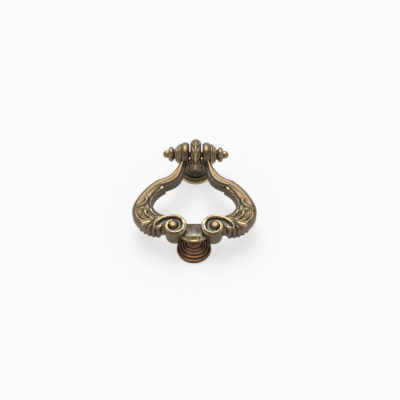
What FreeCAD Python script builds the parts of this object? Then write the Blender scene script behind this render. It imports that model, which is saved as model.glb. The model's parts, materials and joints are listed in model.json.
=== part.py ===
import FreeCAD, Part
import math
import os

from FreeCAD import Vector

# Ring pull handle of the door knocker pattern, cast and turned in brass. Millimetres.
# The origin is the centre of the post's foot on the mounting face. +Z points out of that face,
# +X runs along the hinge to the right, and the bail's free end points towards -Y.
# The bail is drawn in its own frame first: x along the hinge, v down the bail from the hinge
# axis to its free end, w out of its front face. At rest that frame is turned by REST_TILT.

# Hinge
HINGE_HEIGHT = 23.2
REST_TILT = 3.0
PIN_RADIUS = 2.5
PIN_RUNNING_CLEARANCE = 0.06
PIN_SEAT_CLEARANCE = 0.02
PIN_GRIP_LENGTH = 7.0
PIN_END_CLEARANCE = 0.4
PIN_CHAMFER = 0.5

# Post
LUG_THICKNESS = 9.0
LUG_RADIUS = 12.9
LUG_FACE_RADIUS = 9.4
FOOT_RADIUS = 14.4
FOOT_RIM_HEIGHT = 3.2
FOOT_RING_RADIUS = 11.8
FOOT_RING_HEIGHT = 2.2
NECK_HALF_WIDTH = 6.8
NECK_HALF_DEPTH = 7.6
NECK_EAR_CLEARANCE = 0.8
NECK_SQUARENESS = 3.0
LEAF_VEIN_RADIUS = 1.0
LEAF_VEIN_FROM = -52.0
LEAF_VEIN_TO = 118.0
LEAFLET_PAIRS = 5
LEAFLET_RADIUS = 0.9
LEAFLET_RISE = 26.0
LEAFLET_SPREAD = 0.66
LEAFLET_BOW = 0.4
POST_TAP_RADIUS = 2.1
POST_TAP_DEPTH = 12.0

# Ears of the bail and finials outside them
EAR_GAP = 1.1
EAR_THICKNESS = 6.5
EAR_RADIUS = 10.2
EAR_FACE_RADIUS = 8.8
EAR_CREST_SHARE = 0.55
FINIAL_RING_RADII = (9.2, 7.9, 6.5)
FINIAL_RING_WIDTH = 1.65
FINIAL_GROOVE_DEPTH = 0.8
FINIAL_NECK_RADIUS = 4.2
FINIAL_NECK_LENGTH = 1.3
FINIAL_BEAD_RADIUS = 6.3
FINIAL_BEAD_WIDTH = 4.0
FINIAL_TIP_RADIUS = 3.3
FINIAL_TIP_NECK = 2.7

# Places along the hinge that follow from the sizes above
EAR_INNER = LUG_THICKNESS / 2 + EAR_GAP
EAR_OUTER = EAR_INNER + EAR_THICKNESS
PIN_HALF_LENGTH = EAR_OUTER + PIN_GRIP_LENGTH

# Arms of the bail: x, v points of each edge from the hinge end to the free end
ARM_SETBACK = 0.9
ARM_FINIAL_CLEARANCE = 0.3
UPPER_OUTER_EDGE = (
    (EAR_OUTER - ARM_SETBACK, 2.5),
    (EAR_OUTER, FINIAL_RING_RADII[0] + ARM_FINIAL_CLEARANCE),
    (13.7, 14.2),
    (16.8, 20.2),
    (21.0, 25.6),
    (26.4, 28.8),
    (31.6, 30.5),
)
UPPER_INNER_EDGE = ((7.2, 2.5), (8.0, 13.3), (9.9, 23.3), (13.3, 30.2), (19.2, 34.9), (25.6, 37.7))
BELLY_HALF_WIDTH = 49.6
LOWER_OUTER_EDGE = (
    (30.6, 29.9),
    (BELLY_HALF_WIDTH - 11.2, 36.5),
    (BELLY_HALF_WIDTH - 4.4, 45.8),
    (BELLY_HALF_WIDTH, 56.6),
    (BELLY_HALF_WIDTH - 0.8, 65.2),
    (BELLY_HALF_WIDTH - 6.0, 73.1),
    (29.5, 78.3),
)
LOWER_INNER_EDGE = (
    (23.6, 38.3),
    (BELLY_HALF_WIDTH - 19.8, 43.5),
    (BELLY_HALF_WIDTH - 16.5, 49.8),
    (BELLY_HALF_WIDTH - 16.3, 55.6),
    (BELLY_HALF_WIDTH - 19.0, 60.1),
    (BELLY_HALF_WIDTH - 24.2, 63.4),
    (19.0, 65.5),
)
ARM_TOP = 5.0
UPPER_BOTTOM = -5.6
LOWER_BOTTOM = -6.6
UPPER_ROUNDING = 2.4
LOWER_ROUNDING = 3.6
INNER_ROUNDING = 2.0
UPPER_MOULDING_WIDTH = 1.9
LOWER_MOULDING_WIDTH = 3.0
MOULDING_DROP = 1.1

# Volutes at the free end, drawn about the eye of the right one
EYE_X = 16.0
EYE_V = 74.8
EYE_RADIUS = 3.0
EYE_RISE = 2.5
EYE_DOME_RADIUS = 3.7
SCROLL_TOP_X = 0.3
SCROLL_TOP_Y = 7.8
SCROLL_TURN_RADII = (9.3, 7.8, 7.2, 5.3, 2.9)
SCROLL_TAIL_RADIUS = 18.0
SCROLL_TAIL_SWEEP = 52.0
SCROLL_HOOK_RADIUS = 2.5
SCROLL_HOOK_SWEEP = 195.0
SCROLL_FLOOR = 4.9
SCROLL_BOTTOM = -7.2
SCROLL_WALL_SPREAD = 0.7
RIM_RADIUS = 1.5
RIM_LIFT = 0.8

# Ribs that fan out over the belly's edge: inset, v of each rib's corner. Here and below, an
# inset is measured inwards from the belly's widest point.
RIBS = ((21.2, 77.4), (17.8, 77.1), (14.4, 76.2), (11.1, 74.4), (8.0, 71.9))
RIB_ROOT = (19.6, 68.0)
RIB_RUN = 4.5
RIB_RADIUS = 2.0
RIB_TOP = 3.3
RIB_BOTTOM = -7.2

# Acanthus lobes on the belly: three inset, v points of each spine, then its radius
LEAF_LOBES = (
    ((2.4, 58.7), (7.4, 55.2), (11.8, 50.2), 1.3),
    ((16.6, 72.5), (6.0, 70.1), (3.8, 61.2), 1.4),
    ((16.6, 70.5), (8.4, 67.4), (7.8, 60.1), 1.4),
    ((17.6, 68.4), (12.4, 66.3), (11.0, 62.4), 1.4),
    ((19.6, 65.9), (16.6, 63.8), (15.4, 61.0), 1.2),
    ((16.6, 71.3), (13.0, 73.0), (9.6, 74.0), 1.6),
)
LOBE_HEIGHT = 4.6
NUB_INSET = 9.6
NUB_V = 74.0
NUB_RADIUS = 2.1

# Bridge between the volutes, with its palmette lip over the stud
BRIDGE_BACK_V = 71.6
BRIDGE_BACK_TOP = 2.8
BRIDGE_HOLLOW_V = 78.0
BRIDGE_HOLLOW_TOP = -1.0
BRIDGE_FRONT_V = 84.6
BRIDGE_FRONT_TOP = -2.5
STRIKE_UNDERSIDE = -4.6
LIP_HALF_WIDTH = 10.4
LIP_SWEEP_BACK = 3.4
LIP_UPTURN = 2.6
LIP_RADIUS = 1.15
PALMETTE_RADIUS = 4.5
PALMETTE_BEAD = 0.95
PALMETTE_LEAN = 38.0

# Strike stud under the lip
STRIKE_SETBACK = 2.8
STRIKE_GAP = 0.35
STUD_RIM_RADIUS = 13.9
STUD_RIM_HEIGHT = 3.3
STUD_RINGS = ((11.6, 2.1), (9.5, 2.0), (7.8, 1.9))
STUD_RING_STEP = 1.1
STUD_DOME_RADIUS = 5.9
STUD_DOME_RISE = 3.2
STUD_TAP_RADIUS = 2.1
STUD_TAP_DEPTH = 8.0

X_AXIS = Vector(1, 0, 0)
Y_AXIS = Vector(0, 1, 0)
Z_AXIS = Vector(0, 0, 1)
ORIGIN = Vector(0, 0, 0)
HINGE_CENTRE = Vector(0, 0, HINGE_HEIGHT)


def on_bail(x, v, w):
    """A point given in the bail's own frame."""
    return Vector(x, -v, w)


def on_belly(inset, v, w):
    """A point of the bail given by its inset from the belly's widest point."""
    return on_bail(BELLY_HALF_WIDTH - inset, v, w)


def at_rest(shape):
    """The shape moved from the bail's own frame to where the bail rests."""
    placed = shape.copy()
    placed.rotate(ORIGIN, X_AXIS, REST_TILT)
    placed.translate(HINGE_CENTRE)
    return placed


def left_of(shape):
    """The shape mirrored to the left half."""
    return shape.mirror(ORIGIN, X_AXIS)


def turned(axis, start, *steps):
    """A solid of revolution about X or Z.

    The profile runs from start through steps and closes itself. A step is a point, reached by a
    straight line, or two points, reached by an arc through the first to the second. A point is
    its place along the axis and its radius.
    """
    def place(point):
        along, radius = point
        return Vector(along, 0, radius) if axis == X_AXIS else Vector(radius, 0, along)

    edges = []
    last = start
    for step in steps + (start,):
        if isinstance(step[0], tuple):
            through, end = step
            edges.append(Part.Arc(place(last), place(through), place(end)).toShape())
        else:
            end = step
            edges.append(Part.makeLine(place(last), place(end)))
        last = end
    return Part.Face(Part.Wire(edges)).revolve(ORIGIN, axis, 360)


def rounded_section(centre, across, up, squareness, count=16):
    """A closed superellipse with half axes across and up about centre."""
    def stretch(value):
        return math.copysign(abs(value) ** (2 / squareness), value)

    points = []
    for step in range(count):
        angle = 2 * math.pi * step / count
        points.append(centre + across * stretch(math.cos(angle)) + up * stretch(math.sin(angle)))
    even_steps = [step / count for step in range(count + 1)]
    curve = Part.BSplineCurve()
    curve.interpolate(Points=points, PeriodicFlag=True, Parameters=even_steps)
    return Part.Wire(curve.toShape())


def round_bar(centre, axis, start, degrees, radius):
    """A round bar of one radius bent about an axis through centre, from the point start."""
    tangent = axis.cross(start - centre)
    section = Part.Face(Part.Wire(Part.makeCircle(radius, start, tangent)))
    return section.revolve(centre, axis, degrees)


def ridge(root, middle, tip, radius):
    """A round ridge along the arc through three points, with a ball at each end."""
    spine = Part.Arc(root, middle, tip).toShape()
    degrees = math.degrees(spine.LastParameter - spine.FirstParameter)
    bar = round_bar(spine.Curve.Center, spine.Curve.Axis, root, degrees, radius)
    return bar.multiFuse([Part.makeSphere(radius, root), Part.makeSphere(radius, tip)])


def pin_bore(clearance, half_length):
    """A cylinder on the hinge axis, as wide as the pin and the clearance."""
    start = Vector(-half_length, 0, 0)
    return Part.makeCylinder(PIN_RADIUS + clearance, 2 * half_length, start, X_AXIS)


def make_post():
    """Foot, neck and carved lug, bored for the pin and tapped from the back."""
    rim_middle = FOOT_RIM_HEIGHT / 2
    ring_base = FOOT_RIM_HEIGHT
    ring_top = ring_base + FOOT_RING_HEIGHT
    ring_foot = FOOT_RING_RADIUS - FOOT_RING_HEIGHT / 4
    cove_top = ring_top + NECK_HALF_DEPTH / 2
    foot = turned(
        Z_AXIS,
        (0, 0),
        (0, FOOT_RADIUS - rim_middle / 2),
        ((rim_middle, FOOT_RADIUS), (FOOT_RIM_HEIGHT, FOOT_RADIUS - rim_middle / 2)),
        (ring_base, ring_foot),
        ((ring_base + FOOT_RING_HEIGHT / 2, FOOT_RING_RADIUS), (ring_top, ring_foot)),
        (ring_top, FOOT_RING_RADIUS - FOOT_RING_HEIGHT),
        (
            (ring_top + (cove_top - ring_top) / 4, NECK_HALF_DEPTH + (cove_top - ring_top) / 4),
            (cove_top, NECK_HALF_WIDTH),
        ),
        (cove_top, 0),
    )

    neck_top = HINGE_HEIGHT - EAR_RADIUS - NECK_EAR_CLEARANCE
    neck_levels = (
        (ring_top / 2, NECK_HALF_WIDTH, NECK_HALF_DEPTH),
        (neck_top - 2 * NECK_EAR_CLEARANCE, NECK_HALF_WIDTH, NECK_HALF_DEPTH),
        (neck_top, LUG_THICKNESS / 2, NECK_HALF_DEPTH),
        (HINGE_HEIGHT - PIN_RADIUS, LUG_THICKNESS / 2 - NECK_EAR_CLEARANCE, LUG_FACE_RADIUS - PIN_RADIUS),
    )
    neck = Part.makeLoft(
        [
            rounded_section(Vector(0, 0, level), X_AXIS * wide, Y_AXIS * deep, NECK_SQUARENESS)
            for level, wide, deep in neck_levels
        ],
        True,
        True,
    )

    half = LUG_THICKNESS / 2
    eye = turned(
        X_AXIS,
        (-half, 0),
        (-half, LUG_FACE_RADIUS),
        ((0, LUG_RADIUS), (half, LUG_FACE_RADIUS)),
        (half, 0),
    )
    eye.translate(HINGE_CENTRE)

    post = foot.multiFuse([neck, eye] + lug_leaf())
    bore = pin_bore(PIN_RUNNING_CLEARANCE, LUG_THICKNESS)
    bore.translate(HINGE_CENTRE)
    tap = Part.makeCylinder(POST_TAP_RADIUS, POST_TAP_DEPTH)
    return post.cut(bore).cut(tap)


def lug_leaf():
    """The leaf over the lug's rim: a central vein and pairs of leaflets that rise from it."""
    half = LUG_THICKNESS / 2
    crown = LUG_RADIUS - LUG_FACE_RADIUS
    spread = half * LEAFLET_SPREAD

    def on_rim(x, degrees):
        radius = LUG_RADIUS - crown * (x / half) ** 2
        angle = math.radians(degrees)
        return HINGE_CENTRE + Vector(x, -radius * math.cos(angle), radius * math.sin(angle))

    middle = (LEAF_VEIN_FROM + LEAF_VEIN_TO) / 2
    vein_points = (on_rim(0, degrees) for degrees in (LEAF_VEIN_FROM, middle, LEAF_VEIN_TO))
    pieces = [ridge(*vein_points, LEAF_VEIN_RADIUS)]
    pitch = (LEAF_VEIN_TO - LEAF_VEIN_FROM - LEAFLET_RISE) / LEAFLET_PAIRS
    for pair in range(LEAFLET_PAIRS):
        root = LEAF_VEIN_FROM + pitch * (pair + 0.5)
        leaflet = ridge(
            on_rim(0, root),
            on_rim(spread / 2, root + LEAFLET_RISE * LEAFLET_BOW),
            on_rim(spread, root + LEAFLET_RISE),
            LEAFLET_RADIUS,
        )
        pieces.append(leaflet)
        pieces.append(left_of(leaflet))
    return pieces


def edge_curve(points, level):
    """A smooth curve through x, v points of the bail at one level."""
    curve = Part.BSplineCurve()
    curve.interpolate(Points=[on_bail(x, v, level) for x, v in points])
    return curve.toShape()


def moved_aside(points, aside):
    """The x, v points of an arm's inner edge moved by aside towards its outer edge."""
    moved = []
    for index, (x, v) in enumerate(points):
        before = points[max(index - 1, 0)]
        after = points[min(index + 1, len(points) - 1)]
        along_x, along_v = after[0] - before[0], after[1] - before[1]
        length = math.hypot(along_x, along_v)
        moved.append((x + aside * along_v / length, v - aside * along_x / length))
    return moved


def arm_bar(outer_points, inner_points, bottom, top, rounded_points, rounding):
    """An upright walled bar between two edges. The long edges over rounded_points are rounded."""
    outer = edge_curve(outer_points, bottom)
    inner = edge_curve(inner_points, bottom)
    outer_ends = [vertex.Point for vertex in outer.Vertexes]
    inner_ends = [vertex.Point for vertex in inner.Vertexes]
    closing = [Part.makeLine(outer_ends[end], inner_ends[end]) for end in (0, 1)]
    outline = Part.Wire(Part.__sortEdges__([outer, inner] + closing))
    bar = Part.Face(outline).extrude(Z_AXIS * (top - bottom))
    x, v = rounded_points[len(rounded_points) // 2]
    long_edges = []
    for level in (bottom, top):
        probe = Part.Vertex(on_bail(x, v, level))
        long_edges.append(min(bar.Edges, key=lambda edge: edge.distToShape(probe)[0]))
    return bar.makeFillet(rounding, long_edges)


def moulded_arm(outer_points, inner_points, levels, rounding, moulding):
    """An arm: the main bar and the lower bead moulding along its inner edge."""
    bottom, top = levels
    band_edge = moved_aside(inner_points, moulding)
    bead_root = moved_aside(inner_points, 2 * moulding)
    band = arm_bar(outer_points, band_edge, bottom, top, outer_points, rounding)
    bead_bottom, bead_top = bottom + MOULDING_DROP, top - MOULDING_DROP
    bead = arm_bar(bead_root, inner_points, bead_bottom, bead_top, inner_points, INNER_ROUNDING)
    return [band, bead]


def make_ear():
    """The right ear: a disc with a rounded rim on the hinge axis."""
    crest = EAR_INNER + EAR_THICKNESS * EAR_CREST_SHARE
    return turned(
        X_AXIS,
        (EAR_INNER, 0),
        (EAR_INNER, EAR_FACE_RADIUS),
        ((crest, EAR_RADIUS), (EAR_OUTER, EAR_FACE_RADIUS)),
        (EAR_OUTER, 0),
    )


def scroll_arcs():
    """Centre, radius, start and end angle of each arc of the right volute's rim, hook to eye."""
    top = Vector(EYE_X + SCROLL_TOP_X, -EYE_V + SCROLL_TOP_Y, 0)
    tail_centre = top - Y_AXIS * SCROLL_TAIL_RADIUS
    tail_angle = 90 - SCROLL_TAIL_SWEEP
    toward_hook = Vector(math.cos(math.radians(tail_angle)), math.sin(math.radians(tail_angle)), 0)
    hook_centre = tail_centre + toward_hook * (SCROLL_TAIL_RADIUS - SCROLL_HOOK_RADIUS)
    arcs = [
        (hook_centre, SCROLL_HOOK_RADIUS, tail_angle - SCROLL_HOOK_SWEEP, tail_angle),
        (tail_centre, SCROLL_TAIL_RADIUS, tail_angle, 90),
    ]
    joint = top
    for turn, radius in enumerate(SCROLL_TURN_RADII):
        angle = 90 * (turn + 1)
        outward = Vector(math.cos(math.radians(angle)), math.sin(math.radians(angle)), 0)
        centre = joint - outward * radius
        arcs.append((centre, radius, angle, angle + 90))
        joint = centre + Vector(-outward.y, outward.x, 0) * radius
    return arcs


def on_arc(arc, degrees, spread, level):
    """A point of the arc at an angle, moved out by spread, at one level."""
    centre, radius = arc[:2]
    angle = math.radians(degrees)
    reach = radius + spread
    return centre + Vector(reach * math.cos(angle), reach * math.sin(angle), level)


def arc_edges(arcs, spread, level):
    """Edges of the arcs moved out by spread, at one level."""
    edges = []
    for arc in arcs:
        start, end = arc[2:]
        points = [on_arc(arc, degrees, spread, level) for degrees in (start, (start + end) / 2, end)]
        edges.append(Part.Arc(*points).toShape())
    return edges


def make_volute():
    """The right volute: a drum with the scroll's outline, its raised rim and the domed eye."""
    arcs = scroll_arcs()
    wall = arc_edges(arcs[:-2], SCROLL_WALL_SPREAD, SCROLL_BOTTOM)
    tip = wall[0].valueAt(wall[0].FirstParameter)
    end = wall[-1].valueAt(wall[-1].LastParameter)
    outline = Part.Wire(wall + [Part.makeLine(end, tip)])
    drum = Part.Face(outline).extrude(Z_AXIS * (SCROLL_FLOOR - SCROLL_BOTTOM))

    rim_level = SCROLL_FLOOR + RIM_LIFT
    hook = arcs[0]
    rim = [Part.makeSphere(RIM_RADIUS, on_arc(hook, hook[2], 0, rim_level))]
    for arc in arcs[:-1]:
        centre, radius, start, end = arc
        first = on_arc(arc, start, 0, rim_level)
        rim.append(round_bar(centre + Z_AXIS * rim_level, Z_AXIS, first, end - start, RIM_RADIUS))

    dome_centre = arcs[-1][0] + Z_AXIS * (SCROLL_FLOOR + EYE_RISE - EYE_DOME_RADIUS)
    shank = Part.makeCylinder(EYE_RADIUS, 2 * EYE_DOME_RADIUS, dome_centre)
    eye = Part.makeSphere(EYE_DOME_RADIUS, dome_centre).common(shank)
    return drum.multiFuse(rim + [eye])


def make_ribs():
    """Round ribs that run over the edge of the right belly and down its front wall."""
    root = on_belly(*RIB_ROOT, RIB_TOP)
    ribs = []
    for inset, v in RIBS:
        corner = on_belly(inset, v, RIB_TOP)
        inward = (root - corner).normalize()
        shaft = Part.makeCylinder(RIB_RADIUS, RIB_TOP - RIB_BOTTOM, on_belly(inset, v, RIB_BOTTOM))
        run = Part.makeCylinder(RIB_RADIUS, RIB_RUN, corner, inward)
        ends = [Part.makeSphere(RIB_RADIUS, place) for place in (corner, corner + inward * RIB_RUN)]
        ribs.append(shaft.multiFuse([run] + ends))
    return ribs


def make_leaves():
    """The acanthus lobes and the nub on the right belly's top."""
    leaves = [Part.makeSphere(NUB_RADIUS, on_belly(NUB_INSET, NUB_V, LOBE_HEIGHT - NUB_RADIUS / 3))]
    for *spine, radius in LEAF_LOBES:
        leaves.append(ridge(*(on_belly(inset, v, LOBE_HEIGHT) for inset, v in spine), radius))
    return leaves


def make_bridge():
    """The hollowed bridge between the volutes. Its flat underside strikes the stud."""
    half = LIP_HALF_WIDTH
    wing_v = BRIDGE_FRONT_V - LIP_SWEEP_BACK
    back_top = on_bail(-half, BRIDGE_BACK_V, BRIDGE_BACK_TOP)
    hollow = on_bail(-half, BRIDGE_HOLLOW_V, BRIDGE_HOLLOW_TOP)
    front_top = on_bail(-half, BRIDGE_FRONT_V, BRIDGE_FRONT_TOP)
    front_under = on_bail(-half, BRIDGE_FRONT_V, STRIKE_UNDERSIDE)
    back_under = on_bail(-half, BRIDGE_BACK_V, STRIKE_UNDERSIDE)
    side = Part.Wire([
        Part.Arc(back_top, hollow, front_top).toShape(),
        Part.makeLine(front_top, front_under),
        Part.makeLine(front_under, back_under),
        Part.makeLine(back_under, back_top),
    ])
    slab = Part.Face(side).extrude(X_AXIS * (2 * half))

    left_wing = on_bail(-half, wing_v, STRIKE_UNDERSIDE)
    right_wing = on_bail(half, wing_v, STRIKE_UNDERSIDE)
    right_under = on_bail(half, BRIDGE_BACK_V, STRIKE_UNDERSIDE)
    plan = Part.Wire([
        Part.Arc(left_wing, on_bail(0, BRIDGE_FRONT_V, STRIKE_UNDERSIDE), right_wing).toShape(),
        Part.makeLine(right_wing, right_under),
        Part.makeLine(right_under, back_under),
        Part.makeLine(back_under, left_wing),
    ])
    return slab.common(Part.Face(plan).extrude(Z_AXIS * (BRIDGE_BACK_TOP - STRIKE_UNDERSIDE)))


def make_lip():
    """The palmette lip: two upturned wings, an arched bead and the fan plate inside it."""
    level = BRIDGE_FRONT_TOP - LIP_RADIUS / 2
    middle = on_bail(0, BRIDGE_FRONT_V, level)
    tip_v = BRIDGE_FRONT_V - LIP_SWEEP_BACK
    tip_level = level + LIP_UPTURN
    left_tip = on_bail(-LIP_HALF_WIDTH, tip_v, tip_level)
    right_tip = on_bail(LIP_HALF_WIDTH, tip_v, tip_level)
    pieces = [ridge(left_tip, middle, right_tip, LIP_RADIUS)]

    lean = math.radians(PALMETTE_LEAN)
    rise = Vector(0, math.cos(lean), math.sin(lean))

    def on_arch(degrees, share):
        angle = math.radians(degrees)
        reach = PALMETTE_RADIUS * share
        return middle + X_AXIS * (reach * math.cos(angle)) + rise * (reach * math.sin(angle))

    pieces.append(ridge(on_arch(0, 1), on_arch(90, 1), on_arch(180, 1), PALMETTE_BEAD))
    fan_edges = [
        Part.Arc(on_arch(0, 1), on_arch(90, 1), on_arch(180, 1)).toShape(),
        Part.makeLine(on_arch(180, 1), on_arch(0, 1)),
    ]
    thickness = X_AXIS.cross(rise) * -PALMETTE_BEAD
    pieces.append(Part.Face(Part.Wire(fan_edges)).extrude(thickness))
    return pieces


def make_bail():
    """The whole bail casting, at rest."""
    upper_levels = (UPPER_BOTTOM, ARM_TOP)
    lower_levels = (LOWER_BOTTOM, ARM_TOP)
    upper = moulded_arm(
        UPPER_OUTER_EDGE, UPPER_INNER_EDGE, upper_levels, UPPER_ROUNDING, UPPER_MOULDING_WIDTH
    )
    lower = moulded_arm(
        LOWER_OUTER_EDGE, LOWER_INNER_EDGE, lower_levels, LOWER_ROUNDING, LOWER_MOULDING_WIDTH
    )
    arms = upper[0].multiFuse(upper[1:] + lower)
    carved = arms.multiFuse(make_leaves()).multiFuse(make_ribs())
    half = carved.multiFuse([make_ear(), make_volute()])
    bridge = make_bridge().multiFuse(make_lip())
    bail = bridge.multiFuse([half, left_of(half)])
    return at_rest(bail.cut(pin_bore(PIN_SEAT_CLEARANCE, EAR_OUTER + EAR_THICKNESS)))


def make_pin():
    """The hinge pin through both ears and the lug, with chamfered ends inside the finials."""
    end = PIN_HALF_LENGTH
    pin = turned(
        X_AXIS,
        (-end, 0),
        (-end, PIN_RADIUS - PIN_CHAMFER),
        (-end + PIN_CHAMFER, PIN_RADIUS),
        (end - PIN_CHAMFER, PIN_RADIUS),
        (end, PIN_RADIUS - PIN_CHAMFER),
        (end, 0),
    )
    return at_rest(pin)


def make_finial():
    """The right finial: stepped rings, a neck, a bead and a ball tip, bored for the pin's end."""
    place = EAR_OUTER
    steps = []
    for radius in FINIAL_RING_RADII:
        low = radius - FINIAL_GROOVE_DEPTH
        steps.append((place, low))
        steps.append(((place + FINIAL_RING_WIDTH / 2, radius), (place + FINIAL_RING_WIDTH, low)))
        place += FINIAL_RING_WIDTH
    steps.append((place, FINIAL_NECK_RADIUS))
    place += FINIAL_NECK_LENGTH
    steps.append((place, FINIAL_NECK_RADIUS))
    bead_end = place + FINIAL_BEAD_WIDTH
    steps.append(((place + FINIAL_BEAD_WIDTH / 2, FINIAL_BEAD_RADIUS), (bead_end, FINIAL_TIP_NECK)))
    tip_offset = math.sqrt(FINIAL_TIP_RADIUS ** 2 - FINIAL_TIP_NECK ** 2)
    tip_centre = bead_end + tip_offset
    tip_end = tip_centre + FINIAL_TIP_RADIUS
    shoulder = FINIAL_TIP_RADIUS * math.sqrt(0.5)
    steps.append(((tip_centre + shoulder, shoulder), (tip_end, 0)))
    finial = turned(X_AXIS, (EAR_OUTER, 0), *steps)
    return finial.cut(pin_bore(PIN_SEAT_CLEARANCE, PIN_HALF_LENGTH + PIN_END_CLEARANCE))


def strike_place():
    """Where the strike pad's underside meets the stud's axis, at rest."""
    tilt = math.radians(REST_TILT)
    v = BRIDGE_FRONT_V - STRIKE_SETBACK
    y = -v * math.cos(tilt) - STRIKE_UNDERSIDE * math.sin(tilt)
    z = HINGE_HEIGHT - v * math.sin(tilt) + STRIKE_UNDERSIDE * math.cos(tilt)
    return Vector(0, y, z)


def make_stud():
    """The strike stud: a round rim, stepped rings and a domed top just under the strike pad."""
    pad = strike_place()
    top = pad.z - STRIKE_GAP
    rim_foot = STUD_RIM_RADIUS - STUD_RIM_HEIGHT / 4
    steps = [
        (0, rim_foot),
        ((STUD_RIM_HEIGHT / 2, STUD_RIM_RADIUS), (STUD_RIM_HEIGHT, rim_foot)),
    ]
    level = STUD_RIM_HEIGHT
    for radius, height in STUD_RINGS:
        low = radius - STUD_RING_STEP / 2
        steps.append((level, low))
        steps.append(((level + height / 2, radius), (level + height, low)))
        level += height
    shoulder = top - STUD_DOME_RISE
    cap_radius = (STUD_DOME_RADIUS ** 2 + STUD_DOME_RISE ** 2) / (2 * STUD_DOME_RISE)
    half_radius = STUD_DOME_RADIUS / 2
    half_rise = top - cap_radius + math.sqrt(cap_radius ** 2 - half_radius ** 2)
    steps.append((level, STUD_DOME_RADIUS))
    steps.append((shoulder, STUD_DOME_RADIUS))
    steps.append(((half_rise, half_radius), (top, 0)))
    stud = turned(Z_AXIS, (0, 0), *steps)
    stud = stud.cut(Part.makeCylinder(STUD_TAP_RADIUS, STUD_TAP_DEPTH))
    stud.translate(Vector(0, pad.y, 0))
    return stud


def main():
    finial = make_finial()
    pieces = {
        "hinge_post": make_post(),
        "bail_ring": make_bail(),
        "hinge_pin": make_pin(),
        "right_finial": at_rest(finial),
        "left_finial": at_rest(left_of(finial)),
        "strike_stud": make_stud(),
    }
    os.makedirs("parts", exist_ok=True)
    for name, shape in pieces.items():
        print(name, len(shape.Solids), shape.isValid(), round(shape.Volume, 1), shape.BoundBox)
        shape.exportStep(f"parts/{name}.step")


main()
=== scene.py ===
import json
import math

import bmesh
import bpy
import numpy as np
from mathutils import Matrix, Vector


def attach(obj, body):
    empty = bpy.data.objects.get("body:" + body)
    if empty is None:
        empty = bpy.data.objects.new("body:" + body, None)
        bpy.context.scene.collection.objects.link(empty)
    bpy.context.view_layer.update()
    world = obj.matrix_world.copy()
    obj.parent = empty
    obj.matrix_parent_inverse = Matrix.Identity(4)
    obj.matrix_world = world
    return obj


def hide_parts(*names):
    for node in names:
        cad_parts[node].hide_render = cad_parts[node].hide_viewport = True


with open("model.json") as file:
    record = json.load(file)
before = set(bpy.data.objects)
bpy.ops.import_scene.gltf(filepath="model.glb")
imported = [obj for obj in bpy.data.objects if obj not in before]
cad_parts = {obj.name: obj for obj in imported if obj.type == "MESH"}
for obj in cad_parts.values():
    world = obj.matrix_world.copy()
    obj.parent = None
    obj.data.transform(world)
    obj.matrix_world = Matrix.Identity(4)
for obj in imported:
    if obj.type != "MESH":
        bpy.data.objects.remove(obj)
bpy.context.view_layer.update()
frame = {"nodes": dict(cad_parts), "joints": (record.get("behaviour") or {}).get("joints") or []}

bl_info = {
    "name": "Ring pull handle",
    "version": (1, 0, 0),
    "blender": (4, 5, 0),
    "location": "3D View > Sidebar > Ring pull",
    "description": "Carved antique brass ring pull on its post, with the stud that it rests on",
    "category": "Add Mesh",
}

MM = 0.001
HINGE = Vector(frame["joints"][0]["pos_m"])


def length_property(name, description, length):
    return bpy.props.FloatProperty(
        name=name, description=description, default=length, unit="LENGTH", precision=5
    )


def colour_property(name, description, colour):
    return bpy.props.FloatVectorProperty(
        name=name, description=description, default=colour, subtype="COLOR"
    )


class RingPullSizes(bpy.types.PropertyGroup):
    """Sizes of the ring pull's modelled detail."""

    rest_tilt: bpy.props.FloatProperty(
        name="Rest tilt",
        description="Slope of the bail at rest",
        default=math.radians(3.0),
        subtype="ANGLE",
    )
    bail_grain: length_property("Bail mesh size", "Spacing of the bail's mesh", 0.42 * MM)
    post_grain: length_property("Post mesh size", "Spacing of the post's mesh", 0.30 * MM)
    turned_grain: length_property(
        "Turned mesh size", "Spacing of the mesh of the finials and the stud", 0.22 * MM
    )
    carving_depth: bpy.props.FloatProperty(
        name="Carving depth",
        description="Height of the leaf carving, as a share of its own",
        default=1.0,
        min=0.0,
    )


class RingPullColours(bpy.types.PropertyGroup):
    """Colours of the ring pull's finishes and of the stage."""

    brown: colour_property("Brown", "Brass left brown where no hand reaches", (0.190, 0.138, 0.083))
    brass: colour_property("Brass", "Handled brass on open faces", (0.168, 0.122, 0.069))
    # Also used for painted highlights on the bail and the post.
    gold: colour_property("Rubbed gold", "Brass rubbed bright on the ridges", (0.50, 0.39, 0.205))
    tarnish: colour_property("Tarnish", "Dull streaks in the brass", (0.110, 0.082, 0.057))
    # Also used for painted shade on the bail's inner walls.
    umber: colour_property("Umber", "Dark wax left in the recesses", (0.060, 0.049, 0.039))
    # Also used for painted shade on the lug's sides.
    slate: colour_property("Slate", "Blue-grey patina in the deepest hollows", (0.085, 0.090, 0.085))
    bloom: colour_property("Bloom", "Pale grey patina on the bridge", (0.50, 0.52, 0.49))
    copper: colour_property("Copper", "Warm flush in the brass", (0.180, 0.088, 0.043))
    # Its dark red stands partly for a painted reflection of the bail's dark underside.
    stud_brown_and_reflection: colour_property("Stud brown", "Red brass left brown", (0.085, 0.036, 0.020))
    stud_brass: colour_property("Stud brass", "Handled red brass", (0.190, 0.110, 0.064))
    stud_gold: colour_property("Stud gold", "Red brass rubbed bright", (0.430, 0.270, 0.145))
    stud_tarnish: colour_property("Stud tarnish", "Dull streaks in the red brass", (0.085, 0.040, 0.023))
    floor: colour_property("Floor", "Pale floor", (0.905, 0.93, 0.95))


def sizes():
    return bpy.context.scene.ring_pull_sizes


def colours():
    return bpy.context.scene.ring_pull_colours


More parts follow.
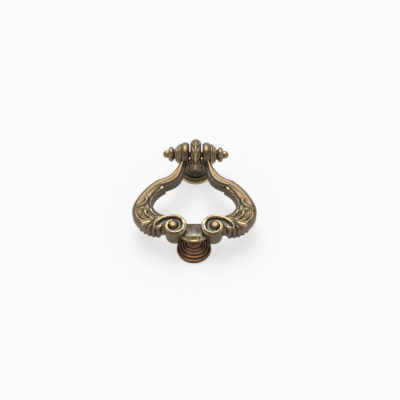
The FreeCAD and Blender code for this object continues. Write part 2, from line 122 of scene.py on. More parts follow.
class Wire:
    """An output socket of a material, on which sums and products can be written."""

    def __init__(self, finish, socket):
        self.finish = finish
        self.socket = socket

    def maths(self, operation, first, second):
        return self.finish.node("ShaderNodeMath", {"operation": operation}, {0: first, 1: second})

    def __add__(self, other):
        return self.maths("ADD", self, other)

    def __radd__(self, other):
        return self.maths("ADD", other, self)

    def __sub__(self, other):
        return self.maths("SUBTRACT", self, other)

    def __rsub__(self, other):
        return self.maths("SUBTRACT", other, self)

    def __mul__(self, other):
        return self.maths("MULTIPLY", self, other)

    def step(self, low, high):
        """A soft step from 0 at low to 1 at high."""
        return self.finish.node(
            "ShaderNodeMapRange",
            {"interpolation_type": "SMOOTHSTEP"},
            {"Value": self, "From Min": low, "From Max": high, "To Min": 0.0, "To Max": 1.0},
        )


class Finish:
    """A node tree of a material or world, and the one method that adds its nodes."""

    def __init__(self, owner):
        owner.use_nodes = True
        self.tree = owner.node_tree
        self.tree.nodes.clear()

    def node(self, kind, settings=None, sockets=None, output=0):
        made = self.tree.nodes.new(kind)
        for name, value in (settings or {}).items():
            setattr(made, name, value)
        for name, value in (sockets or {}).items():
            socket = made.inputs[name]
            if isinstance(value, Wire):
                self.tree.links.new(value.socket, socket)
            elif socket.type == "RGBA" and len(value) == 3:
                socket.default_value = (*value, 1.0)
            else:
                socket.default_value = value
        return Wire(self, made.outputs[output]) if made.outputs else made

    def mix(self, share, first, second):
        """A colour mix from first to second by share."""
        return self.node(
            "ShaderNodeMix", {"data_type": "RGBA"}, {"Factor": share, 6: first, 7: second}, output=2
        )

    def attribute(self, name):
        return self.node("ShaderNodeAttribute", {"attribute_name": name}, output=2)

    def place(self):
        return self.node("ShaderNodeTexCoord", output=3)

    def noise(self, scale, detail=3.0, roughness=0.55):
        return self.node(
            "ShaderNodeTexNoise",
            {"noise_dimensions": "3D"},
            {"Vector": self.place(), "Scale": scale, "Detail": detail, "Roughness": roughness},
        )


CLOUD_SCALE = 150.0
STREAK_SCALE = 330.0
FLECK_SCALE = 900.0
GRAIN_SCALE = 5200.0
GRAIN_STRENGTH = 0.18
GRAIN_DEPTH = 0.12 * MM


def aged_metal_with_painted_light(name, shade, shaded, handled_and_lit, ridge_and_highlight, flush, flush_share, shine):
    """Aged metal: wax in the recesses, rubbed ridges, a warm flush and a faint cast grain, with painted
    highlights and painted shade carried by the crest, hollow and rubbing marks.
    """
    tint = colours()
    material = bpy.data.materials.new(name)
    finish = Finish(material)
    crest = finish.attribute("crest")
    hollow = finish.attribute("hollow")
    rub = finish.attribute("rub")
    bloom = finish.attribute("bloom")
    warm = finish.attribute("warm")
    cloud = finish.noise(CLOUD_SCALE) - 0.5
    streak = finish.noise(STREAK_SCALE, 3.0, 0.6) - 0.5
    fleck = finish.noise(FLECK_SCALE, 4.0, 0.6) - 0.5
    grain = finish.noise(GRAIN_SCALE, 2.0, 0.5)

    faces = finish.mix((rub + cloud * 0.6 + fleck * 0.4).step(0.10, 0.80), shaded, handled_and_lit)
    flushed = finish.mix((cloud * 3.5 + warm * 0.5 + 0.4).step(0.40, 0.95) * flush_share, faces, flush)
    tarnish = (streak * 3.0 + fleck * 3.0 + 0.35).step(0.25, 1.0) * 0.6
    dulled = finish.mix(tarnish, flushed, shade)
    # Gold where the crest mark is high: rubbed brass, and painted highlights where the crest mark was raised
    # for them.
    wear_and_highlight = (crest * 0.85 + rub * 0.35 + fleck * 0.45 - 0.38).step(0.0, 0.75)
    rubbed = finish.mix(wear_and_highlight, dulled, ridge_and_highlight)
    # Slate where the hollow mark is high: patina in the hollows, and painted shade on the post's lug sides.
    deep = (hollow * 1.2 + streak * 1.2 + fleck * 1.6 - 0.12).step(0.12, 0.80) * 0.85
    grey = finish.mix(deep, rubbed, tint.slate)
    # Umber where the crest mark is low: wax in the recesses, and painted shade on the bail's inner walls.
    wax = (hollow * 0.35 - crest * 0.85 - rub * 0.08 + fleck * 0.3 - 0.06).step(0.05, 0.85) * 0.85
    pale = bloom * (streak * 5.0 + fleck * 3.0 + 0.5).step(0.10, 0.90) * 0.85
    colour = finish.mix(pale, finish.mix(wax, grey, tint.umber), tint.bloom)

    bump = finish.node(
        "ShaderNodeBump",
        None,
        {"Strength": GRAIN_STRENGTH, "Distance": GRAIN_DEPTH, "Height": grain + fleck * 1.5},
    )
    shader = finish.node(
        "ShaderNodeBsdfPrincipled",
        None,
        {
            "Base Color": colour,
            "Metallic": 1.0 - wax * 0.5,
            "Roughness": shine + wax * 0.15 + deep * 0.10 - wear_and_highlight * 0.06 + fleck * 0.12,
            "Normal": bump,
        },
    )
    finish.node("ShaderNodeOutputMaterial", None, {"Surface": shader})
    return material


def brass_finish():
    tint = colours()
    return aged_metal_with_painted_light(
        "aged_brass_and_painted_light",
        shade=tint.tarnish,
        shaded=tint.brown,
        handled_and_lit=tint.brass,
        ridge_and_highlight=tint.gold,
        flush=tint.copper,
        flush_share=0.65,
        shine=0.38,
    )


def stud_finish():
    tint = colours()
    return aged_metal_with_painted_light(
        "aged_red_brass_and_reflection",
        shade=tint.stud_tarnish,
        # The stud's dark red brown is partly a painted reflection of the bail's dark underside.
        shaded=tint.stud_brown_and_reflection,
        handled_and_lit=tint.stud_brass,
        ridge_and_highlight=tint.stud_gold,
        flush=tint.copper,
        flush_share=0.20,
        shine=0.34,
    )


def pin_finish():
    """Plain drawn rod, finely flecked."""
    tint = colours()
    material = bpy.data.materials.new("drawn_brass")
    finish = Finish(material)
    fleck = finish.noise(FLECK_SCALE)
    colour = finish.mix(fleck, tint.brass, tint.umber)
    shader = finish.node(
        "ShaderNodeBsdfPrincipled",
        None,
        {"Base Color": colour, "Metallic": 1.0, "Roughness": 0.3 + fleck * 0.2},
    )
    finish.node("ShaderNodeOutputMaterial", None, {"Surface": shader})
    return material


def bail_matrix():
    """From the bail's own frame (x, minus v, w) to where it rests."""
    return Matrix.Translation(HINGE) @ Matrix.Rotation(sizes().rest_tilt, 4, "X")


def piece_from(name, bm):
    mesh = bpy.data.meshes.new(name)
    bm.to_mesh(mesh)
    bm.free()
    piece = bpy.data.objects.new(name, mesh)
    bpy.context.scene.collection.objects.link(piece)
    return piece


def node_copy(node):
    """The CAD node's mesh as a bmesh with its corners merged."""
    bm = bmesh.new()
    bm.from_mesh(frame["nodes"][node].data)
    bmesh.ops.remove_doubles(bm, verts=bm.verts, dist=1e-6)
    return bm


def recast(piece, grain):
    """Replaces the piece's mesh by one even skin over all its forms."""
    skin = piece.modifiers.new("Skin", "REMESH")
    skin.mode = "VOXEL"
    skin.voxel_size = grain
    evaluated = piece.evaluated_get(bpy.context.evaluated_depsgraph_get())
    mesh = bpy.data.meshes.new_from_object(evaluated)
    piece.modifiers.remove(skin)
    old = piece.data
    piece.data = mesh
    mesh.name = old.name
    bpy.data.meshes.remove(old)
    mesh.polygons.foreach_set("use_smooth", [True] * len(mesh.polygons))
    return mesh


def dress(mesh, material):
    """Gives the whole mesh one material."""
    mesh.materials.clear()
    mesh.materials.append(material)


# Reach of the broad and the fine relief that wear follows, and the height of a full crest, in millimetres.
BROAD_REACH = 2.8
FINE_REACH = 0.9
CREST_HEIGHT = 0.15


class Skin:
    """The places, normals and edges of a piece's mesh, in millimetres."""

    def __init__(self, mesh, grain):
        self.mesh = mesh
        self.grain = grain / MM
        count = len(mesh.vertices)
        flat = np.empty(count * 3, np.float32)
        mesh.vertices.foreach_get("co", flat)
        self.places = flat.reshape(-1, 3).astype(float) / MM
        ends = np.empty(len(mesh.edges) * 2, np.int32)
        mesh.edges.foreach_get("vertices", ends)
        self.ends = ends.reshape(-1, 2)
        self.valence = np.bincount(ends, minlength=count).astype(float)

    def normals(self):
        flat = np.empty(len(self.places) * 3, np.float32)
        self.mesh.vertex_normals.foreach_get("vector", flat)
        return flat.reshape(-1, 3).astype(float)

    def settle(self):
        """Writes the places back to the mesh."""
        self.mesh.vertices.foreach_set("co", (self.places * MM).astype(np.float32).ravel())
        self.mesh.update()

    def mean(self, values):
        """The mean of each vertex's neighbours."""
        first, second = self.ends[:, 0], self.ends[:, 1]
        count = len(values)
        total = np.stack(
            [
                np.bincount(first, values[second, axis], count)
                + np.bincount(second, values[first, axis], count)
                for axis in range(values.shape[1])
            ],
            1,
        )
        return total / self.valence[:, None]

    def relax(self, rounds):
        """Evens the skin without shrinking it."""
        for turn in range(rounds):
            for share in (0.5, -0.52):
                self.places += share * (self.mean(self.places) - self.places)
        self.settle()

    def smoothed(self, reach):
        """The places evened over about the given reach."""
        places = self.places
        for turn in range(max(1, round((reach / self.grain) ** 2))):
            places = places + 0.5 * (self.mean(places) - places)
        return places

    def soften(self, share, reach):
        """Evens the skin over about the given reach by each vertex's share."""
        self.places += share[:, None] * (self.smoothed(reach) - self.places)
        self.settle()

    def mark(self, name, values):
        layer = self.mesh.attributes.new(name, "FLOAT", "POINT")
        layer.data.foreach_set("value", values.astype(np.float32))

    def mark_wear_and_light(self, rub, shelter_and_shade=0.0, polish_and_painted_light=0.0, keen=1.0):
        """Stores where the skin is a crest, a hollow or rubbed by hands; keen sharpens the crests. Painted
        highlights and painted light come in with the rubbing and polish marks, and painted shade with the
        shelter mark and negative polish.
        """
        normals = self.normals()
        broad = np.sum(normals * (self.smoothed(BROAD_REACH) - self.places), 1)
        fine = np.sum(normals * (self.places - self.smoothed(FINE_REACH)), 1) + 0.10 * broad
        crest = np.clip(keen * fine / CREST_HEIGHT + polish_and_painted_light, -1, 1)[:, None]
        for turn in range(2):
            crest = 0.5 * (crest + self.mean(crest))
        self.mark("crest", crest[:, 0])
        self.mark("hollow", np.clip(broad + shelter_and_shade, -1, 1))
        self.mark("rub", np.clip(rub, 0, 1))


def sunk_below(plan, height, reach, cell=0.5):
    """How far each point lies below the highest point within reach of it in plan."""
    spread = round(reach / cell)
    spot = ((plan - plan.min(0)) / cell).astype(int) + spread + 1
    field = np.full(spot.max(0) + spread + 2, -1e6)
    np.maximum.at(field, (spot[:, 0], spot[:, 1]), height)
    top = field
    for across in range(-spread, spread + 1):
        for along in range(-spread, spread + 1):
            if across ** 2 + along ** 2 <= spread ** 2:
                top = np.maximum(top, np.roll(field, (across, along), (0, 1)))
    return top[spot[:, 0], spot[:, 1]] - height


def soft_step(values, low, high):
    share = np.clip((values - low) / (high - low), 0, 1)
    return share * share * (3 - 2 * share)


def smooth_line(points, spans=8):
    """Points along a smooth line through the given ones."""
    known = np.array(points, float)
    padded = np.vstack([2 * known[0] - known[1], known, 2 * known[-1] - known[-2]])
    line = []
    for index in range(1, len(padded) - 2):
        before, start, end, after = padded[index - 1 : index + 3]
        for step in range(spans):
            t = step / spans
            line.append(
                0.5
                * (
                    2 * start
                    + (end - before) * t
                    + (2 * before - 5 * start + 4 * end - after) * t * t
                    + (3 * start - before - 3 * end + after) * t ** 3
                )
            )
    line.append(known[-1])
    return np.array(line)


def cut_heights(plan, strokes):
    """Height at each plan point from strokes of (points, half width, height, start and end taper)."""
    raised = np.zeros(len(plan))
    sunk = np.zeros(len(plan))
    for points, width, height, head, tail in strokes:
        line = smooth_line(points)
        low, high = line.min(0) - width, line.max(0) + width
        near = np.nonzero(np.all((plan > low) & (plan < high), 1))[0]
        if not len(near):
            continue
        spot = plan[near][:, None, :]
        start, run = line[:-1], line[1:] - line[:-1]
        length = np.linalg.norm(run, axis=1)
        along = np.clip(np.sum((spot - start) * run, 2) / length ** 2, 0, 1)
        gap = np.linalg.norm(spot - start - along[..., None] * run, axis=2)
        best = gap.argmin(1)
        rows = np.arange(len(near))
        passed = np.concatenate([[0], np.cumsum(length)])[best]
        reach = (passed + along[rows, best] * length[best]) / length.sum()
        taper = np.interp(reach, (0, 0.2, 0.5, 1), (head, 1, 1, tail))
        share = np.clip(1 - (gap[rows, best] / (width * (0.35 + 0.65 * taper))) ** 2, 0, 1) ** 1.5
        value = height * taper * share
        if height > 0:
            raised[near] = np.maximum(raised[near], value)
        else:
            sunk[near] = np.minimum(sunk[near], value)
    return raised + sunk


# Strokes and spots in the bail's own plan, in millimetres: distance from the middle, distance down from the
# hinge. A stroke is its points, half width, height, and the share of both left at its start and its end.
LEAF_STROKES = (
    (((38.7, 48.8), (38.1, 51.4), (38.7, 53.8), (40.6, 55.8), (43.4, 57.6)), 1.5, 0.8, 1.0, 0.1),
    (((38.8, 48.6), (38.2, 50.6)), 1.9, 0.8, 1.0, 0.6),
    (((38.4, 56.4), (40.8, 57.9), (43.8, 59.2)), 1.1, -0.3, 0.4, 0.2),
    (
        ((41.2, 59.0), (43.0, 59.6), (44.1, 61.8), (43.9, 64.6), (42.2, 67.3), (39.2, 69.1), (34.5, 70.3)),
        1.2, 0.45, 1.0, 0.1,
    ),
    (((40.6, 59.0), (42.2, 59.2)), 2.0, 0.9, 1.0, 0.7),
    (((41.2, 61.4), (42.2, 63.4), (41.3, 65.9), (38.9, 67.8), (35.5, 68.9)), 1.4, -0.4, 0.7, 0.1),
    (((39.0, 61.8), (38.8, 64.0), (37.6, 65.8), (35.2, 67.0), (31.5, 67.9)), 1.3, 0.45, 1.0, 0.1),
    (((38.9, 61.5), (39.1, 63.4)), 2.2, 0.9, 1.0, 0.7),
    (((36.5, 61.6), (36.4, 63.6), (34.6, 65.3), (31.8, 66.3)), 1.3, -0.35, 0.7, 0.1),
    (((34.8, 60.0), (34.1, 61.8), (32.7, 63.3), (30.2, 64.7)), 1.2, 0.4, 1.0, 0.1),
    (((34.9, 59.6), (34.4, 61.2)), 1.9, 0.7, 1.0, 0.6),
    (
        ((46.8, 60.2), (46.4, 63.5), (45.6, 66.6), (44.0, 69.0), (41.4, 70.6), (36.8, 71.6)),
        1.3, 0.45, 0.2, 0.1,
    ),
    (((45.3, 61.4), (45.2, 64.2), (43.8, 67.3), (41.0, 69.8), (36.5, 71.0)), 0.9, -0.3, 0.2, 0.1),
    (((33.2, 71.6), (36.6, 73.2), (40.4, 74.2)), 1.9, 0.6, 0.1, 1.0),
    (((31.4, 70.8), (34.6, 74.0), (38.0, 76.6)), 0.8, -0.6, 0.4, 0.4),
)
MOULDING_STROKES = (
    (
        ((28.0, 40.8), (31.2, 43.2), (34.2, 46.2), (36.2, 49.4), (36.7, 53.0), (36.2, 57.0), (34.6, 60.0)),
        0.6, -0.4, 0.6, 0.2,
    ),
    (((9.9, 13.0), (11.7, 22.6), (14.7, 28.9), (20.0, 33.2), (26.3, 36.2)), 0.55, -0.4, 0.5, 0.8),
    (((10.9, 12.8), (12.8, 22.1), (15.8, 27.9), (20.7, 32.0), (26.8, 34.9)), 1.1, 0.3, 0.5, 0.8),
    (((25.8, 37.2), (27.4, 38.8)), 1.3, 0.6, 1.0, 1.0),
    (((23.4, 36.6), (25.2, 38.6)), 0.9, -0.8, 0.8, 1.0),
    (((29.4, 73.0), (30.1, 79.0)), 0.8, -0.8, 0.6, 1.0),
    (((30.4, 72.0), (32.2, 75.0), (34.0, 78.6)), 0.8, -0.8, 0.5, 1.0),
)
ROUND_STROKES = (
    (
        ((12.0, 10.0), (15.5, 20.5), (21.0, 27.5), (28.0, 31.5), (36.0, 37.5), (43.5, 46.5), (47.5, 55.0)),
        5.5, 1.0, 0.3, 0.3,
    ),
)
LEAF_BED = (
    (((45.5, 59.0), (42.0, 64.0), (37.0, 67.5), (31.0, 68.5)), 7.5, 1.0, 0.8, 0.8),
)
MELT_STROKES = (
    (((38.6, 51.0), (42.6, 54.6), (47.8, 59.2)), 3.2, 1.0, 0.5, 1.0),
    (((43.0, 68.5), (38.0, 69.8), (31.0, 69.6)), 4.6, 0.8, 0.6, 0.8),
    (((28.6, 77.6), (33.2, 77.4), (38.2, 75.4), (43.6, 71.4)), 3.2, 0.8, 0.7, 0.9),
)
CROWN_STROKES = (
    (
        ((12.6, 12.0), (16.2, 20.5), (21.4, 27.0), (28.4, 31.6), (36.0, 37.8), (42.4, 45.8), (45.6, 53.0)),
        5.2, 1.2, 0.5, 0.3,
    ),
)
# Also lightens the outer slopes of the upper arms as painted light.
HAND_AND_LIGHT_STROKES = (
    (
        ((12.6, 12.0), (16.2, 20.5), (21.4, 27.0), (28.0, 31.3), (35.0, 36.4), (42.0, 44.0)),
        6.0, 1.0, 0.5, 0.1,
    ),
)
FILL_STROKES = (
    (
        ((9.8, 71.2), (8.5, 76.3), (10.3, 80.7), (14.8, 82.7), (18.9, 81.0), (20.6, 77.2), (19.9, 74.4)),
        1.6, 1.4, 0.3, 0.5,
    ),
)
RIM_STROKES = (
    (((31.0, 75.2), (29.8, 72.6), (26.5, 69.6), (22.0, 67.8), (16.3, 67.0)), 1.5, 0.75, 1.0, 0.8),
    (((16.3, 67.0), (11.0, 68.6), (7.6, 73.0), (7.0, 76.3), (8.8, 81.3), (14.8, 84.1)), 1.8, 0.45, 1.0, 1.0),
    (((14.8, 84.1), (20.2, 81.6), (22.0, 76.9), (20.6, 73.2), (16.7, 71.6)), 1.8, 0.45, 1.0, 1.0),
)
FLUTES = ((30.1, 78.7), (33.9, 78.0), (37.7, 76.4), (41.2, 73.8), (43.4, 71.2))
FLUTE_REACH = 0.55
FLUTE_DEPTH = 0.75
KNOBS = ((26.6, 76.0), (40.2, 74.2), (32.4, 76.4), (35.9, 75.4))
KNOB_REACH = 2.4
EYE = np.array((16.6, 74.7))
EYE_REACH = 4.0
EYE_FLOOR = 4.7
EYE_RISE = 2.4
EYE_RUB_REACH = 3.2
DRUM_REACH = 9.0
CORNER = ((26.9, 38.3),)
CORNER_REACH = 1.3
LOOP_MIDDLE = np.array((0.0, 52.0))
SHELTER_REACH = 3.5
# Distances from the middle or down from the hinge between which a mark on the bail fades.
BRIDGE_SIDE = (6.5, 9.5)
BRIDGE_BACK = (70.0, 73.0)
BLOOM_FRONT = (80.0, 82.0)
LIP_BACK = (82.0, 83.5)
LIP_SIDE = (11.0, 12.0)
EAR_RUB_END = (8.0, 11.0)
EAR_FLUSH_END = (7.0, 10.0)


def bail_plan(skin):
    """Distance from the middle and distance down the bail, for each vertex."""
    return np.stack([np.abs(skin.places[:, 0]), -skin.places[:, 1]], 1)


def near_spots(plan, spots, reach):
    """A soft mark of the given reach about each of the spots."""
    gap = np.min([np.hypot(*(plan - spot).T) for spot in np.array(spots)], 0)
    return np.exp(-((gap / reach) ** 2))


def carve_bail(skin):
    """Cuts leaves, grooves and flutes into the bail, and raises its crowns, rims and eyes."""
    normals = skin.normals()
    plan = bail_plan(skin)
    depth = sizes().carving_depth
    facing = soft_step(normals[:, 2], 0.1, 0.55) * soft_step(skin.places[:, 2], 1.0, 3.0)
    height = cut_heights(plan, LEAF_STROKES + MOULDING_STROKES + FILL_STROKES) * facing * depth
    height += (cut_heights(plan, CROWN_STROKES) + 0.5 * cut_heights(plan, RIM_STROKES)) * facing
    skin.places += normals * (0.4 * height)[:, None]
    skin.places[:, 2] += 0.6 * height
    reach = np.hypot(*(plan - EYE).T) / EYE_REACH
    dome = EYE_FLOOR + EYE_RISE * np.sqrt(np.clip(1 - reach ** 3, 0, 1))
    lifted = np.where(reach < 0.7, dome, np.maximum(skin.places[:, 2], dome))
    skin.places[:, 2] = np.where((reach < 1) & (normals[:, 2] > 0.05), lifted, skin.places[:, 2])
    wall = 1 - soft_step(np.abs(normals[:, 2]), 0.4, 0.8)
    flutes = near_spots(plan, FLUTES, FLUTE_REACH) * wall
    skin.places -= normals * (FLUTE_DEPTH * flutes * depth)[:, None]
    skin.settle()


def bail_wear_and_light(skin):
    """How far each vertex of the bail is touched by hands, kept from them and rubbed bright, with painted
    light and painted shade among these marks, and how keen its crests are.
    """
    normals = skin.normals()
    plan = bail_plan(skin)
    across, down = plan[:, 0], plan[:, 1]
    upward = normals[:, 2]
    sunk = sunk_below(skin.places[:, :2], skin.places[:, 2], SHELTER_REACH)
    handled_and_lit = soft_step(upward, -0.1, 0.7) * (1 - soft_step(sunk, 0.5, 2.2))
    shelter_and_shade = 0.5 * soft_step(sunk, 0.8, 2.2) * soft_step(upward, 0.3, 0.8)
    front = soft_step(upward, 0.2, 0.7)
    bridge = (1 - soft_step(across, *BRIDGE_SIDE)) * soft_step(down, *BRIDGE_BACK) * front
    # Painted light: over the bridge the shelter mark is held low, against the shade between the drums.
    shelter_and_shade = np.where(bridge > 0.01, 0.2 * bridge, shelter_and_shade)

    blades = tuple(stroke for stroke in LEAF_STROKES if stroke[2] > 0 and len(stroke[0]) > 2)
    tips = tuple(stroke for stroke in LEAF_STROKES if len(stroke[0]) == 2)
    beads = tuple(stroke for stroke in MOULDING_STROKES if stroke[2] > 0)
    # Leaf blades and tips, volute rims and moulding beads rubbed bright: partly wear, partly painted
    # highlights.
    polish_and_painted_light = 0.3 * cut_heights(plan, blades) + 0.9 * cut_heights(plan, tips)
    polish_and_painted_light += cut_heights(plan, RIM_STROKES) + 0.6 * cut_heights(plan, beads)
    polish_and_painted_light *= front
    # Painted light on the bridge; the ears are rubbed bright, partly as painted highlight.
    polish_and_painted_light += 0.9 * bridge + 0.3 * (1 - soft_step(down, *EAR_RUB_END))
    # Rubbed spots on the corner, the knobs, the eye and the lip: partly wear, partly painted highlights.
    polish_and_painted_light += 0.8 * near_spots(plan, CORNER, CORNER_REACH)
    standing = soft_step(upward, 0.1, 0.6) * (1 - soft_step(sunk, 1.2, 2.2))
    polish_and_painted_light += near_spots(plan, KNOBS, KNOB_REACH) * standing
    polish_and_painted_light += 0.3 * near_spots(plan, (EYE,), EYE_RUB_REACH) * standing
    lip = soft_step(down, *LIP_BACK) * (1 - soft_step(across, *LIP_SIDE))
    polish_and_painted_light += 0.35 * lip * soft_step(upward, -0.2, 0.4)

    # Painted shade darkens the inner walls, which face the middle of the loop; the flute walls are darkened
    # too. Painted light lightens the outer walls and the outer slopes of the upper arms.
    wall = 1 - soft_step(np.abs(upward), 0.4, 0.8)
    toward = LOOP_MIDDLE - plan
    side = np.sign(skin.places[:, 0])
    inward = (side * normals[:, 0] * toward[:, 0] - normals[:, 1] * toward[:, 1]) / np.hypot(*toward.T)
    inner = wall * soft_step(inward, 0.1, 0.5)
    outer = wall * soft_step(-inward, 0.1, 0.5)
    polish_and_painted_light -= 0.75 * inner + 0.8 * near_spots(plan, FLUTES, FLUTE_REACH) * wall
    handled_and_lit += 0.6 * outer
    polish_and_painted_light += 0.15 * outer + 0.15 * cut_heights(plan, HAND_AND_LIGHT_STROKES) * soft_step(upward, -0.1, 0.5)

    skin.mark("bloom", bridge * (1 - soft_step(down, *BLOOM_FRONT)))
    drum = near_spots(plan, (EYE,), DRUM_REACH) * wall * soft_step(skin.places[:, 2], 0.0, 3.0)
    skin.mark("warm", 0.8 * drum + 0.7 * (1 - soft_step(down, *EAR_FLUSH_END)))
    # Painted light: the leaf bed is lightened and its crest marks weakened, against the shade in it.
    bed = cut_heights(plan, LEAF_BED) * soft_step(upward, 0.0, 0.5)
    polish_and_painted_light += 0.08 * bed
    shelter_and_shade = shelter_and_shade - 0.25 * bed
    keen = 1 - 0.55 * bed
    return handled_and_lit, shelter_and_shade, polish_and_painted_light, keen


class RINGPULL_OT_bail(bpy.types.Operator):
    """Make the carved bail with its ears, leaves, volutes and lip"""

    bl_idname = "ringpull.bail"
    bl_label = "Bail"

    def execute(self, context):
        home = bail_matrix()
        bm = node_copy("bail_ring")
        bmesh.ops.transform(bm, matrix=home.inverted(), verts=bm.verts)
        piece = piece_from("bail_casting", bm)
        mesh = recast(piece, sizes().bail_grain)
        skin = Skin(mesh, sizes().bail_grain)
        skin.relax(4)
        skin.soften(cut_heights(bail_plan(skin), ROUND_STROKES), 2.0)
        skin.soften(cut_heights(bail_plan(skin), MELT_STROKES), 1.3)
        skin.soften(0.6 * cut_heights(bail_plan(skin), LEAF_BED), 1.2)
        carve_bail(skin)
        skin.relax(3)
        skin.mark_wear_and_light(*bail_wear_and_light(skin))
        mesh.transform(home)
        dress(mesh, brass_finish())
        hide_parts("bail_ring")
        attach(piece, "bail")
        return {"FINISHED"}


# Heights on the post, and distances from its middle, between which a mark fades, in millimetres.
RIM_TOP = (3.0, 3.6)
RING_FROM = (3.0, 3.5)
RING_TOP = (4.6, 5.4)
NECK_FROM = (4.6, 6.4)
LUG_FROM = (13.0, 17.0)
MIDRIB_SIDE = (0.6, 1.3)
VEIN_FROM = (2.0, 8.0)


class RINGPULL_OT_post(bpy.types.Operator):
    """Make the post with its turned foot and leaf-covered lug"""

    bl_idname = "ringpull.post"
    bl_label = "Post"

    def execute(self, context):
        piece = piece_from("post_casting", node_copy("hinge_post"))
        mesh = recast(piece, sizes().post_grain)
        skin = Skin(mesh, sizes().post_grain)
        skin.relax(2)
        across, up = np.abs(skin.places[:, 0]), skin.places[:, 2]
        lug = soft_step(up, *LUG_FROM)
        neck = soft_step(up, *NECK_FROM) * (1 - lug)
        rim = 1 - soft_step(up, *RIM_TOP)
        ring = soft_step(up, *RING_FROM) * (1 - soft_step(up, *RING_TOP))
        midrib = 1 - soft_step(across, *MIDRIB_SIDE)
        vein = lug * midrib * soft_step(-skin.places[:, 1], *VEIN_FROM)
        # The midrib is rubbed bright on its front only, partly wear and partly painted highlight; the lug's
        # middle is lightened and its sides darkened as painted light and painted shade; the foot's rim and
        # ring are rubbed bright, partly as painted highlight; the neck is darkened.
        skin.mark_wear_and_light(
            rim + 0.5 * lug * (1 - soft_step(across, 1.0, 3.0)),
            0.55 * neck + 0.3 * lug * soft_step(across, 1.2, 2.6),
            1.1 * rim + 0.6 * ring + 0.95 * vein + 0.1 * lug,
            1 + 1.5 * lug,
        )
        dress(mesh, bpy.data.materials["aged_brass_and_painted_light"])
        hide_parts("hinge_post")
        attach(piece, "base")
        return {"FINISHED"}


# Distances from the middle between which a finial's cone ends and its knob begins, in millimetres.
CONE_END = (16.6, 17.2)
KNOB_FROM = (17.6, 18.6)


class RINGPULL_OT_finials(bpy.types.Operator):
    """Make the two turned finials at the ends of the pin"""

    bl_idname = "ringpull.finials"
    bl_label = "Finials"

    def execute(self, context):
        for node in ("left_finial", "right_finial"):
            piece = piece_from(node.replace("finial", "knob"), node_copy(node))
            mesh = recast(piece, sizes().turned_grain)
            skin = Skin(mesh, sizes().turned_grain)
            skin.relax(2)
            skin.soften(1 - soft_step(np.abs(skin.places[:, 0]), *CONE_END), 1.0)
            knob = soft_step(np.abs(skin.places[:, 0]), *KNOB_FROM)
            skin.mark("warm", 0.6 * knob)
            skin.mark_wear_and_light(0.5 + 0.5 * knob, 0.45 * (1 - knob), 0.5 - 0.15 * knob)
            dress(mesh, bpy.data.materials["aged_brass_and_painted_light"])
            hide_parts(node)
            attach(piece, "bail")
        return {"FINISHED"}


class RINGPULL_OT_stud(bpy.types.Operator):
    """Make the turned stud under the lip"""

    bl_idname = "ringpull.stud"
    bl_label = "Stud"

    def execute(self, context):
        piece = piece_from("stud_turning", node_copy("strike_stud"))
        mesh = recast(piece, sizes().turned_grain)
        skin = Skin(mesh, sizes().turned_grain)
        skin.relax(2)
        skin.mark_wear_and_light(soft_step(skin.normals()[:, 2], -0.3, 0.8) * 0.7, keen=1.5)
        dress(mesh, stud_finish())
        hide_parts("strike_stud")
        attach(piece, "base")
        return {"FINISHED"}


class RINGPULL_OT_pin(bpy.types.Operator):
    """Give the hinge pin its drawn finish"""

    bl_idname = "ringpull.pin"
    bl_label = "Pin"

    def execute(self, context):
        pin = frame["nodes"]["hinge_pin"]
        for slot in pin.material_slots:
            slot.material = pin_finish()
        return {"FINISHED"}


# Outputs of the light path node for rays from the camera and those that metal or glass sends on.
RAYS_SEEN = (0, 3, 6)
FLOOR_SIZE = 6.0
FLOOR_GLOW = 0.67
UP = (0.0, 0.0, 1.0)
TOWARD_CAMERA = (0.0, -1.0, 0.0)
OVERHEAD = (0.30, 0.75)
ROOM_PALE = (0.97, 0.985, 1.0)
ROOM_DIM = (0.10, 0.07, 0.05)
SUN_STRENGTH = 2.18
SUN_PLACE = (-0.08, 0.50, 1.0)
SUN_SPREAD = math.radians(46)
SUN_COLOUR = (1.0, 0.99, 0.98)
SENSOR_WIDTH = 36.0
LENS = 76.95
CAMERA_PLACE = (0.01103, -0.47730, 0.56197)
CAMERA_TURN = (math.radians(38.5), 0.0, math.radians(0.9))


def seen_rays(finish):
    """1 on rays from the camera, and on those that metal or glass sends on."""
    return sum(finish.node("ShaderNodeLightPath", output=name) for name in RAYS_SEEN)


def make_floor():
    bm = bmesh.new()
    bmesh.ops.create_grid(bm, x_segments=1, y_segments=1, size=FLOOR_SIZE)
    floor = piece_from("floor", bm)
    material = bpy.data.materials.new("pale_floor")
    finish = Finish(material)
    paper = finish.node("ShaderNodeBsdfDiffuse", None, {"Color": tuple(colours().floor)})
    white = finish.node("ShaderNodeEmission", None, {"Color": (1.0, 1.0, 1.0), "Strength": 1.0})
    share = seen_rays(finish) * FLOOR_GLOW
    shader = finish.node("ShaderNodeMixShader", None, {0: share, 1: paper, 2: white})
    finish.node("ShaderNodeOutputMaterial", None, {"Surface": shader})
    floor.data.materials.append(material)


def facing_way(finish, heading, way):
    """How far a heading points the given way."""
    return finish.node(
        "ShaderNodeVectorMath", {"operation": "DOT_PRODUCT"}, {0: heading, 1: way}, output=1
    )


def make_world():
    """A pale room, dimmer and warmer overhead, most of all behind the camera."""
    world = bpy.data.worlds.new("studio")
    bpy.context.scene.world = world
    finish = Finish(world)
    heading = finish.node("ShaderNodeTexCoord", output=0)
    above = facing_way(finish, heading, UP).step(*OVERHEAD)
    dim = above * (0.62 + facing_way(finish, heading, TOWARD_CAMERA) * 0.30)
    room = finish.mix(dim, ROOM_PALE, ROOM_DIM)
    background = finish.node(
        "ShaderNodeBackground", None, {"Color": room, "Strength": 0.6 + seen_rays(finish) * 0.4}
    )
    finish.node("ShaderNodeOutputWorld", None, {"Surface": background})


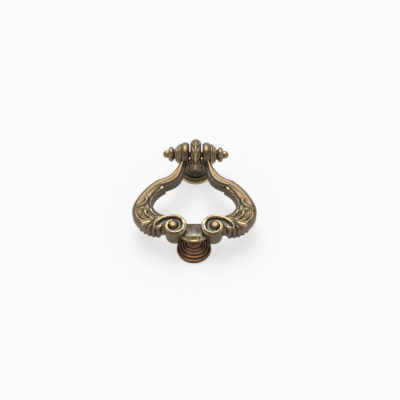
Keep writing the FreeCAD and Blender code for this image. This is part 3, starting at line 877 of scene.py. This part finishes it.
def make_sun():
    """A wide soft light from above and behind, aimed at the middle of the post's foot."""
    sun = bpy.data.lights.new("top_light", "SUN")
    sun.energy = SUN_STRENGTH
    sun.color = SUN_COLOUR
    sun.angle = SUN_SPREAD
    holder = bpy.data.objects.new("top_light", sun)
    holder.location = SUN_PLACE
    holder.rotation_euler = (-Vector(SUN_PLACE)).to_track_quat("-Z", "Y").to_euler()
    bpy.context.scene.collection.objects.link(holder)


def make_camera():
    camera = bpy.data.cameras.new("camera")
    camera.sensor_width = SENSOR_WIDTH
    camera.lens = LENS
    holder = bpy.data.objects.new("camera", camera)
    holder.location = CAMERA_PLACE
    holder.rotation_euler = CAMERA_TURN
    bpy.context.scene.collection.objects.link(holder)
    bpy.context.scene.camera = holder


class RINGPULL_OT_stage(bpy.types.Operator):
    """Set the floor, the light and the camera"""

    bl_idname = "ringpull.stage"
    bl_label = "Stage"

    def execute(self, context):
        context.scene.view_settings.view_transform = "Standard"
        make_floor()
        make_world()
        make_sun()
        make_camera()
        return {"FINISHED"}


class RINGPULL_PT_panel(bpy.types.Panel):
    """Lists the ring pull's pieces"""

    bl_idname = "RINGPULL_PT_panel"
    bl_label = "Ring pull"
    bl_space_type = "VIEW_3D"
    bl_region_type = "UI"
    bl_category = "Ring pull"

    def draw(self, context):
        for operator in OPERATORS:
            self.layout.operator(operator.bl_idname)
        for group in (sizes(), colours()):
            for name in group.__annotations__:
                self.layout.prop(group, name)


GROUPS = (RingPullSizes, RingPullColours)
OPERATORS = (
    RINGPULL_OT_bail,
    RINGPULL_OT_post,
    RINGPULL_OT_finials,
    RINGPULL_OT_stud,
    RINGPULL_OT_pin,
    RINGPULL_OT_stage,
)


def register():
    for entry in GROUPS + OPERATORS + (RINGPULL_PT_panel,):
        bpy.utils.register_class(entry)
    bpy.types.Scene.ring_pull_sizes = bpy.props.PointerProperty(type=RingPullSizes)
    bpy.types.Scene.ring_pull_colours = bpy.props.PointerProperty(type=RingPullColours)


def unregister():
    del bpy.types.Scene.ring_pull_colours
    del bpy.types.Scene.ring_pull_sizes
    for entry in reversed(GROUPS + OPERATORS + (RINGPULL_PT_panel,)):
        bpy.utils.unregister_class(entry)


def main():
    register()
    bpy.ops.ringpull.bail()
    bpy.ops.ringpull.post()
    bpy.ops.ringpull.finials()
    bpy.ops.ringpull.stud()
    bpy.ops.ringpull.pin()
    bpy.ops.ringpull.stage()


if __name__ == "__main__":
    main()
